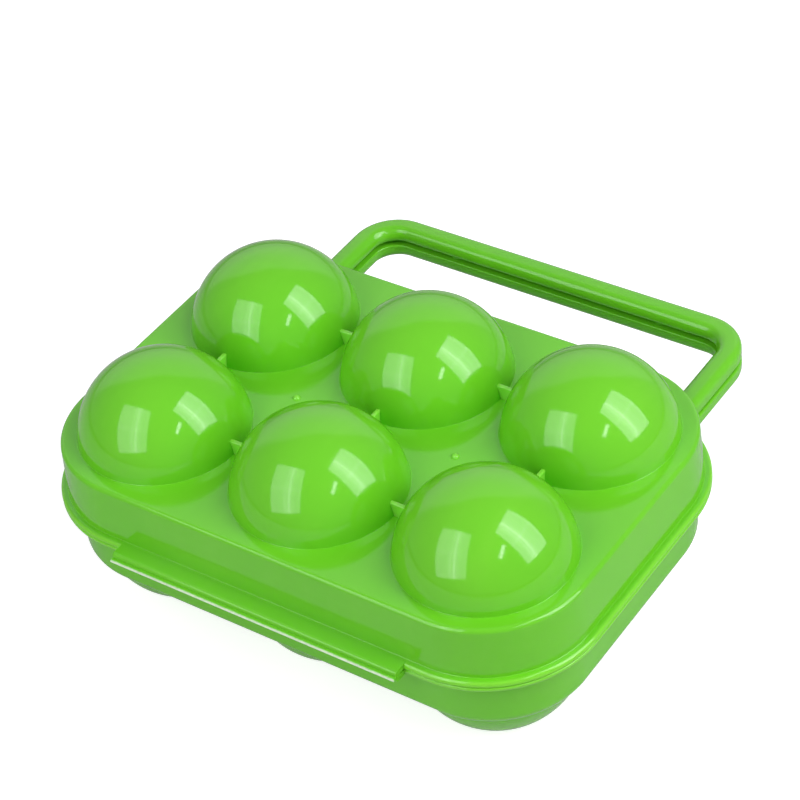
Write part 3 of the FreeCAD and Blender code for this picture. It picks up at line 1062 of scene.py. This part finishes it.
@dataclass
class Hinge(Moulding):
    """The hinge along the front: a thick leaf on each flange, and the film folded between them."""

    length: float = 92.0 * MM
    leaf_width: float = 3.6 * MM
    leaf_round: float = 1.0 * MM
    leaf_heel: float = 0.3 * MM
    parting_gap: float = 0.02 * MM
    parting_round: float = 0.25 * MM
    overlay: float = 1.2 * MM
    seat: float = 0.03 * MM
    end_round: float = 0.4 * MM
    end_steps: int = 3
    leaf_steps: int = 5
    film_reach: float = 1.2 * MM
    film_bite: float = 0.3 * MM
    film_thickness: float = 0.4 * MM
    film_steps: int = 8
    tip_share: float = 0.9
    slit: float = 0.015 * MM
    bend: float = 0.25 * MM

    @property
    def flange_front(self) -> float:
        """How far in front of the grid's middle the flange ends."""
        return self.grid.half_width + self.grid.flange_edge

    @property
    def leaf_front(self) -> float:
        """How far in front of the grid's middle the leaf ends."""
        return self.flange_front + self.leaf_width

    @property
    def fold(self) -> Vector:
        """Middle of the fold line."""
        return self.grid.at(0, -self.leaf_front - self.film_reach)

    def strip(self, name: str, corners: Sequence[Corner], steps: int) -> Piece:
        """Draw a closed section at the left end of the hinge and run it along.

        Args:
            name: name of the piece.
            corners: the section, measured towards the front.
            steps: number of short lines in each rounding.

        Returns:
            The strip, with closed ends.
        """
        pen = Pen(name, self.grid.at(-self.length / 2, 0), Vector((0, -1, 0)), corners[0])
        pen.trace([*corners[1:], corners[0]], steps)
        pen.take_profile(closed=True)
        bpy.ops.mesh.edge_face_add()
        pen.run(RIGHT * self.length)
        return pen.lift()

    def ease_ends(self, strip: Piece) -> None:
        """Round the edges of a strip's two end faces.

        Args:
            strip: the strip to work on.
        """
        take_up(strip)
        bpy.ops.object.mode_set(mode="EDIT")
        middle, reach = self.grid.middle.x, self.length / 2

        def at_end(edge: bmesh.types.BMEdge) -> bool:
            """Whether an edge lies in an end face."""
            return all(abs(abs(vertex.co.x - middle) - reach) < TOUCH for vertex in edge.verts)

        pick(strip, Part.EDGES, at_end)
        bpy.ops.mesh.bevel(offset=self.end_round, segments=self.end_steps, affect="EDGES", clamp_overlap=True)
        bpy.ops.mesh.select_all(action="SELECT")
        bpy.ops.mesh.remove_doubles(threshold=MERGE)
        bpy.ops.object.mode_set(mode="OBJECT")

    def leaf(self, half: Half) -> Piece:
        """Model and dress a leaf, with its front edges rounded and its ends eased.

        Args:
            half: the half that the leaf belongs to.

        Returns:
            The finished piece.
        """
        side = half.value
        back, front = self.flange_front - self.overlay, self.leaf_front
        far = side * (self.grid.flange + self.seat)
        strip = self.strip(f"{half.body}_hinge_leaf_moulded", [
            Corner(back, side * self.leaf_heel),
            Corner(front, side * self.parting_gap, self.parting_round),
            Corner(front, far, self.leaf_round),
            Corner(back, far),
        ], self.leaf_steps)
        self.ease_ends(strip)
        smooth(strip)
        return self.dress(strip, half, f"{half.body}_hinge_leaf")

    def film(self) -> Piece:
        """Model and dress the film, folded back on itself and open only at a slit between its two plies.

        Returns:
            The finished piece.
        """
        back, tip = self.leaf_front - self.film_bite, self.leaf_front + self.film_reach
        ply = self.film_thickness
        inner, tip_round = tip - ply, self.tip_share * ply
        film = self.strip("hinge_film_folded", [
            Corner(back, self.slit),
            Corner(inner, self.slit),
            Corner(inner, -self.slit),
            Corner(back, -self.slit),
            Corner(back, -ply),
            Corner(tip, -ply, tip_round),
            Corner(tip, ply, tip_round),
            Corner(back, ply),
        ], self.film_steps)
        smooth(film)
        self.fold - UP * self.bend
        self.fold + UP * self.bend
        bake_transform(film)
        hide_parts("base_hinge_film", "lid_hinge_film")
        self.film_finish().coat(film)
        return film

    def film_finish(self) -> BandedFinish:
        """Choose the film's finish: the plastic of the leaves, whitened along the fold.

        Returns:
            The finish.
        """
        flexed = replace(self.finish, name="whitened_film", slot="flexed_film", polished=0.2, rubbed=0.35,
                         glow=0.12)
        return BandedFinish(
            **vars(flexed), axis=Axis.Y, middle=self.fold.y, full=0.0, fade=0.9 * MM, ragged=0.45 * MM,
            tone=(0.85, 0.93, 0.78, 1))

    def build(self) -> list[Piece]:
        """Model and dress both leaves and the film and return them."""
        return [*(self.leaf(half) for half in Half), self.film()]


# The set


def bearing(azimuth: float, elevation: float) -> Vector:
    """Direction from the carrier, by the angle round from its front and the height, in degrees."""
    turn, rise = math.radians(azimuth), math.radians(elevation)
    return Vector((math.sin(turn) * math.cos(rise), -math.cos(turn) * math.cos(rise), math.sin(rise)))


def facing(target: Vector, away: Vector, distance: float, roll: float) -> Matrix:
    """Place a lamp or camera so that it faces a target.

    Args:
        target: what it faces.
        away: direction from the target to it.
        distance: how far off it stands.
        roll: turn about its own line of sight, in degrees.

    Returns:
        Its place and turn.
    """
    right = UP.cross(away).normalized()
    axes = Matrix((right, away.cross(right), away)).transposed()
    axes = axes @ Matrix.Rotation(math.radians(roll), 3, "Z")
    return Matrix.Translation(target + away * distance) @ axes.to_4x4()


@dataclass(frozen=True)
class ClothFold:
    """A bright fold in a softbox's cloth: its place beside the main fold, its half width and its gain."""

    aside: float
    half_width: float
    gain: float


FOLDS = (
    ClothFold(aside=0.0, half_width=0.05, gain=0.75),
    ClothFold(aside=-0.11, half_width=0.035, gain=0.35),
    ClothFold(aside=0.0, half_width=0.3, gain=0.25),
)


@dataclass(frozen=True)
class Softbox:
    """A rectangular studio light, by its direction from the carrier in degrees and its size."""

    name: str
    azimuth: float
    elevation: float
    roll: float
    width: float
    height: float
    power: float
    fold: float = 0.5
    seam: float = 0.52
    stretch: float = 0.06
    distance: float = 1.0

    def build(self, target: Vector) -> None:
        """Hang the softbox so that it faces the carrier.

        Args:
            target: what it lights.
        """
        lamp = bpy.data.lights.new(self.name, "AREA")
        lamp.shape = "RECTANGLE"
        lamp.size, lamp.size_y, lamp.energy = self.width, self.height, self.power
        self.streak(lamp)
        box = bpy.data.objects.new(self.name, lamp)
        box.matrix_world = facing(target, bearing(self.azimuth, self.elevation), self.distance, self.roll)
        box.visible_camera = False
        bpy.context.collection.objects.link(box)

    def streak(self, lamp: bpy.types.Light) -> None:
        """Let the cloth of the softbox glow unevenly, in a few bright folds and a seam across.

        Args:
            lamp: the softbox's lamp.
        """
        lamp.use_nodes = True
        nodes = Nodes(lamp.node_tree)
        spot = nodes.add("NewGeometry").outputs["Parametric"]
        across, along = nodes.along(spot, Axis.X), nodes.along(spot, Axis.Y)
        drawn_out = nodes.math("MULTIPLY", along, self.stretch)
        creased = nodes.add("CombineXYZ", {0: across, 1: drawn_out}).outputs[0]
        glow = nodes.band(nodes.noise(creased, scale=18.0), low=0.4, high=0.7, start=0.68, end=0.92)
        for fold in FOLDS:
            away = nodes.apart(across, self.fold + fold.aside)
            glow = nodes.math("ADD", glow, nodes.band(away, 0.0, fold.half_width, start=fold.gain, end=0.0))
        seam = nodes.band(nodes.apart(along, self.seam), low=0.0, high=0.025, start=0.4, end=0.0)
        nodes.feed(lamp.node_tree.nodes["Emission"], {"Strength": nodes.math("ADD", glow, seam)})


@dataclass
class Studio:
    """White floor and screen, soft lights, and the camera at the photograph's angle."""

    middle: Vector
    lights: Sequence[Softbox]
    lit_height: float = 40.0 * MM
    camera_azimuth: float = 39.656
    camera_elevation: float = 40.95
    camera_roll: float = -8.257
    camera_distance: float = 0.692793
    aim_height: float = 54.42 * MM
    focal_pixels: float = 2568.14
    shift_pixels: tuple[float, float] = (-24.926, 30.367)
    image_pixels: float = 800.0
    sensor: float = 36.0
    floor_size: float = 6.0
    floor_drop: float = 0.05 * MM
    floor_white: float = 0.6
    floor_seen: float = 0.75
    floor_mirrored: float = 0.06
    floor_fade: tuple[float, float] = (0.5, 1.2)
    fill: float = 0.11
    room: float = 0.42
    screen_shift: float = 0.1
    screen_half_width: float = 1.06
    screen_height: float = 1.7
    screen_squareness: float = 4.0
    least_depth: float = 0.05

    def above_floor(self, height: float) -> Vector:
        """A place at a height over the floor, in the middle of the carrier."""
        return Vector((self.middle.x, self.middle.y, height))

    def build_floor(self) -> None:
        """Lay the floor, which glows just enough to read as paper-white and keeps the carrier's shadow."""
        deselect()
        bpy.ops.mesh.primitive_plane_add(size=self.floor_size, location=UP * -self.floor_drop)
        floor = bpy.context.object
        floor.name = "studio_floor"
        bpy.ops.object.transform_apply(location=True)
        material = bpy.data.materials.new("paper_sweep")
        material.use_nodes = True
        nodes = Nodes(material.node_tree)
        shader = material.node_tree.nodes["Principled BSDF"]
        white = (self.floor_white, self.floor_white, self.floor_white, 1)
        nodes.feed(shader, {"Base Color": white, "Roughness": 0.9, "Specular IOR Level": 0.0})
        path = nodes.add("LightPath")
        away = nodes.add("VectorMath", {0: nodes.here()}, operation="LENGTH").outputs["Value"]
        seen = nodes.band(away, *self.floor_fade, start=self.floor_seen, end=1.0)
        glow = nodes.math("ADD", nodes.math("MULTIPLY", path.outputs["Is Camera Ray"], seen),
                          nodes.math("MULTIPLY", nodes.mirrored(path), self.floor_mirrored))
        lit = nodes.add("Emission", {"Color": (1, 1, 1, 1), "Strength": glow})
        both = nodes.add("AddShader", {0: shader.outputs[0], 1: lit.outputs[0]})
        nodes.feed(material.node_tree.nodes["Material Output"], {"Surface": both.outputs[0]})
        floor.data.materials.append(material)

    def build_screen(self, nodes: Nodes) -> Socket:
        """Draw the white screen behind the carrier, which ends in rounded corners and dims towards the floor.

        Args:
            nodes: the world's nodes.

        Returns:
            How bright the room looks in a mirror, by direction.
        """
        towards = nodes.add("TexCoord").outputs["Generated"]
        level_x, level_y, height = (nodes.along(towards, axis) for axis in Axis)
        turn = math.radians(self.camera_azimuth)
        behind = nodes.math("ADD", nodes.math("MULTIPLY", level_x, -math.sin(turn)),
                            nodes.math("MULTIPLY", level_y, math.cos(turn)))
        aside = nodes.math("ADD", nodes.math("MULTIPLY", level_x, math.cos(turn)),
                           nodes.math("MULTIPLY", level_y, math.sin(turn)))
        depth = nodes.math("MAXIMUM", behind, self.least_depth)
        across = nodes.apart(nodes.math("DIVIDE", aside, depth), self.screen_shift)
        across = nodes.math("DIVIDE", across, self.screen_half_width)
        rise = nodes.math("DIVIDE", nodes.math("MAXIMUM", height, 0.0), depth)
        rise = nodes.math("DIVIDE", rise, self.screen_height)
        powers = [nodes.math("POWER", share, self.screen_squareness) for share in (across, rise)]
        rounded = nodes.math("POWER", nodes.math("ADD", *powers), 1 / self.screen_squareness)
        screen = nodes.band(rounded, low=0.84, high=1.2, start=1.0, end=0.0)
        screen = nodes.math("MULTIPLY", screen, nodes.band(behind, low=0.0, high=0.15))
        dimmed = nodes.band(height, low=-0.05, high=0.4, start=0.2, end=0.6)
        screen = nodes.math("MULTIPLY", screen, dimmed)
        return nodes.math("ADD", screen, self.room)

    def build_world(self) -> None:
        """Surround the set: white to the camera, the screen in a dim room to mirrors, and a little fill."""
        world = bpy.data.worlds.new("studio")
        world.use_nodes = True
        bpy.context.scene.world = world
        nodes = Nodes(world.node_tree)
        path = nodes.add("LightPath")
        levels = {0: nodes.mirrored(path), 2: self.fill, 3: self.build_screen(nodes)}
        lit = nodes.add("Mix", levels, data_type="FLOAT").outputs[0]
        seen = nodes.math("MAXIMUM", lit, path.outputs["Is Camera Ray"])
        nodes.feed(world.node_tree.nodes["Background"], {"Color": (1, 1, 1, 1), "Strength": seen})

    def build_camera(self) -> None:
        """Set the camera where the photograph was taken from."""
        lens = bpy.data.cameras.new("photo_camera")
        lens.sensor_width = self.sensor
        lens.lens = self.focal_pixels / self.image_pixels * self.sensor
        lens.shift_x = -self.shift_pixels[0] / self.image_pixels
        lens.shift_y = self.shift_pixels[1] / self.image_pixels
        lens.clip_start, lens.clip_end = 0.01, 20.0
        camera = bpy.data.objects.new("photo_camera", lens)
        aim = self.above_floor(self.aim_height)
        away = bearing(self.camera_azimuth, self.camera_elevation)
        camera.matrix_world = facing(aim, away, self.camera_distance, self.camera_roll)
        bpy.context.collection.objects.link(camera)
        bpy.context.scene.camera = camera

    def build(self) -> None:
        """Set up floor, world, lights and camera."""
        self.build_floor()
        self.build_world()
        for light in self.lights:
            light.build(self.above_floor(self.lit_height))
        self.build_camera()
        bpy.context.scene.view_settings.view_transform = "Standard"
        log.info("studio: floor, screen, %d lights and camera", len(self.lights))


def main() -> None:
    """Build the carrier's pieces in order, then the set around them."""
    logging.basicConfig(level=logging.INFO, format="%(message)s")
    log.info("building around %d nodes", len(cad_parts))
    low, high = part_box("lid_tray")
    grid = EggGrid(Vector(((low.x + high.x) / 2, (low.y + high.y) / 2, low.z)))
    green = PlasticFinish(
        "lime_moulding", "green_plastic", body=(0.158, 0.594, 0.019, 1), deep=(0.128, 0.553, 0.013, 1),
        pale=(0.208, 0.644, 0.038, 1), polished=0.08, rubbed=0.18, ripple=0.05 * MM, glow=0.06)
    # The webs and gate nubs are painted a lighter green than the body: painted light that stands in for light
    # catching their tops and shining through these thin parts.
    thin = replace(green, name="thin_moulding_painted_light", body=(0.230, 0.700, 0.050, 1), deep=(0.200, 0.660, 0.040, 1),
                   pale=(0.280, 0.740, 0.080, 1), glow=0.25)
    # Both flanges are painted a lighter green in a band round the parting plane: a painted glow that stands
    # in for light shining through the thin flanges.
    painted_flange_glow = BandedFinish(
        **vars(replace(green, name="moulding_painted_flange_glow")), axis=Axis.Z, middle=grid.middle.z,
        full=0.8 * grid.flange, fade=grid.flange, tone=(0.205, 0.680, 0.030, 1))

    mouldings = (
        Tray(grid, painted_flange_glow, Half.LID, foot=29.9 * MM, top=29.0 * MM, plate_rim=26.6 * MM,
             edge_round=1.3 * MM, inner_round=0.6 * MM),
        Tray(grid, painted_flange_glow, Half.BASE, foot=28.3 * MM, top=27.5 * MM, plate_rim=23.2 * MM,
             edge_round=4.0 * MM, inner_round=2.5 * MM),
        GateNubs(grid, thin),
        EggCaps(grid, green, Half.LID),
        EggCaps(grid, green, Half.BASE, crease=12.0),
        DomeWebs(grid, thin),
        HandleHalf(grid, green, Half.LID, wall_margin=29.7 * MM, inner_seam_round=1.6 * MM),
        HandleHalf(grid, green, Half.BASE, wall_margin=28.15 * MM, inner_seam_round=0.35 * MM),
        Hinge(grid, green),
    )
    for moulding in mouldings:
        for piece in moulding.build():
            log.info("%s: %d faces in %s", piece.name, len(piece.data.polygons), piece.data.materials[0].name)

    lights = (
        Softbox("left_softbox", azimuth=-15.5, elevation=37.5, roll=21.5,
                width=0.71, height=0.98, power=7.2, fold=0.62),
        Softbox("right_softbox", azimuth=106.0, elevation=42.0, roll=-6.5,
                width=0.65, height=0.97, power=10.6, fold=0.4),
        Softbox("door_gap", azimuth=63.5, elevation=43.0, roll=-42.0,
                width=0.08, height=0.27, power=0.55),
    )
    Studio(grid.middle, lights).build()


if __name__ == "__main__":
    main()
